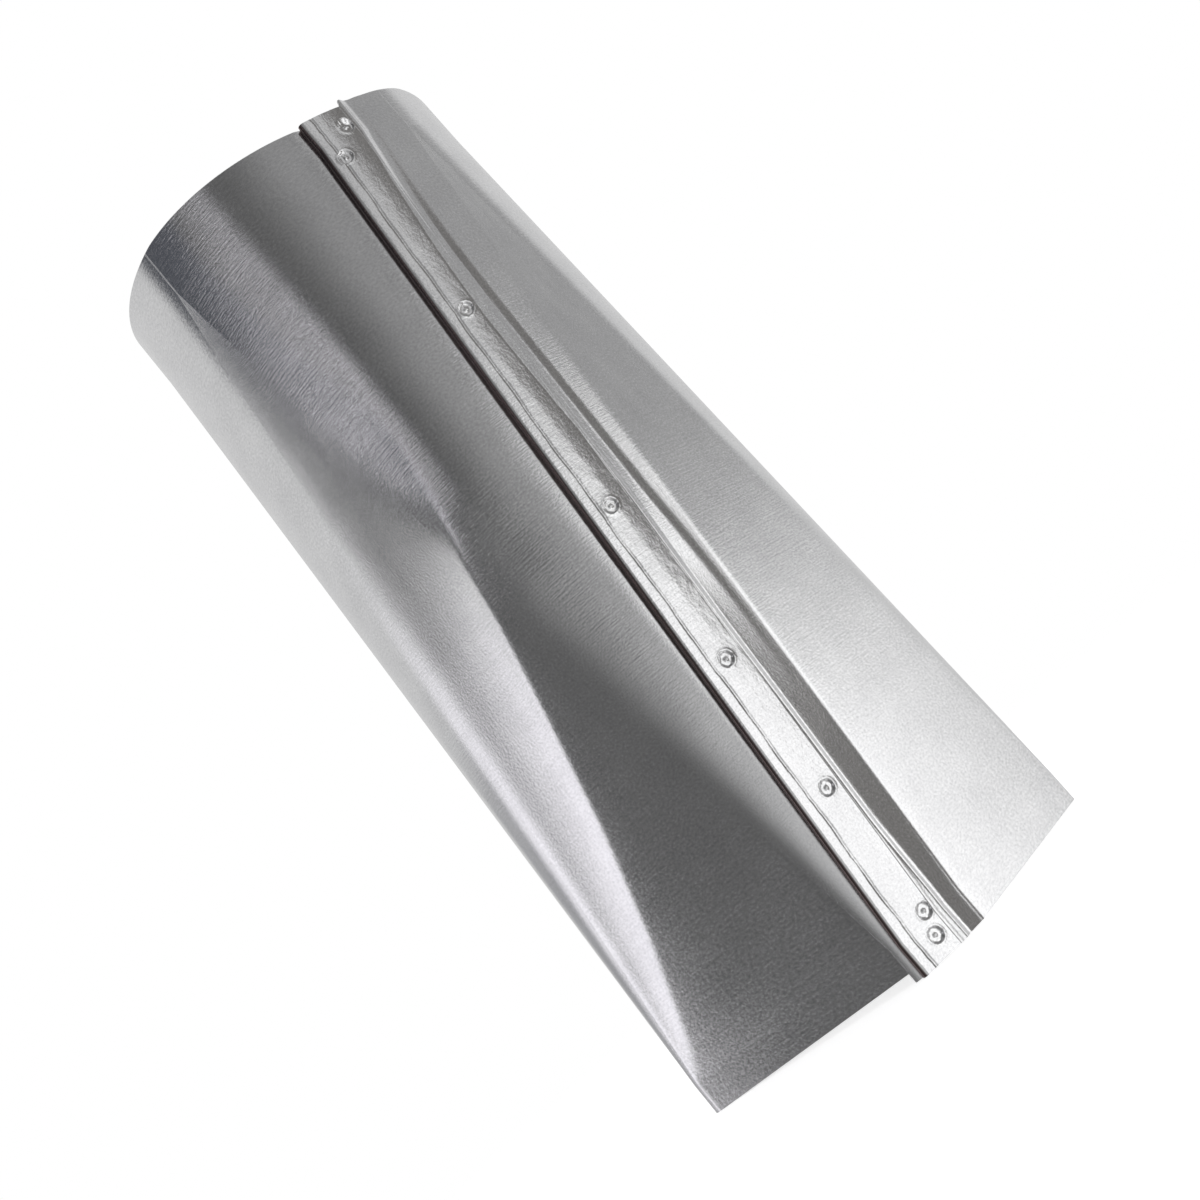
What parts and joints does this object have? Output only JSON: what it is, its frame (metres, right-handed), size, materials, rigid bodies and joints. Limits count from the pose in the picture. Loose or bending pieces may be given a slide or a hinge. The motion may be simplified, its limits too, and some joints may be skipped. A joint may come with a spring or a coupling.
{
  "type": "square downpipe reducer",
  "caption": "Folded galvanised sheet reducer that joins a round rainwater pipe to a square one, closed along one corner by a raised lock seam with clinch marks.",
  "frame": {"origin": "on the axis, in the plane of the square end", "axes": "+Z along the axis from the square end to the round end; X and Y square to the flat sides, with the lock seam at the +X -Y corner"},
  "size_m": [0.1, 0.1, 0.245],
  "materials": {
    "galvanised_sheet": "satin galvanised sheet with fine speckle and scratches"
  },
  "bodies": {
    "root": {"reducer_body": "galvanised_sheet"}
  },
  "joints": []
}
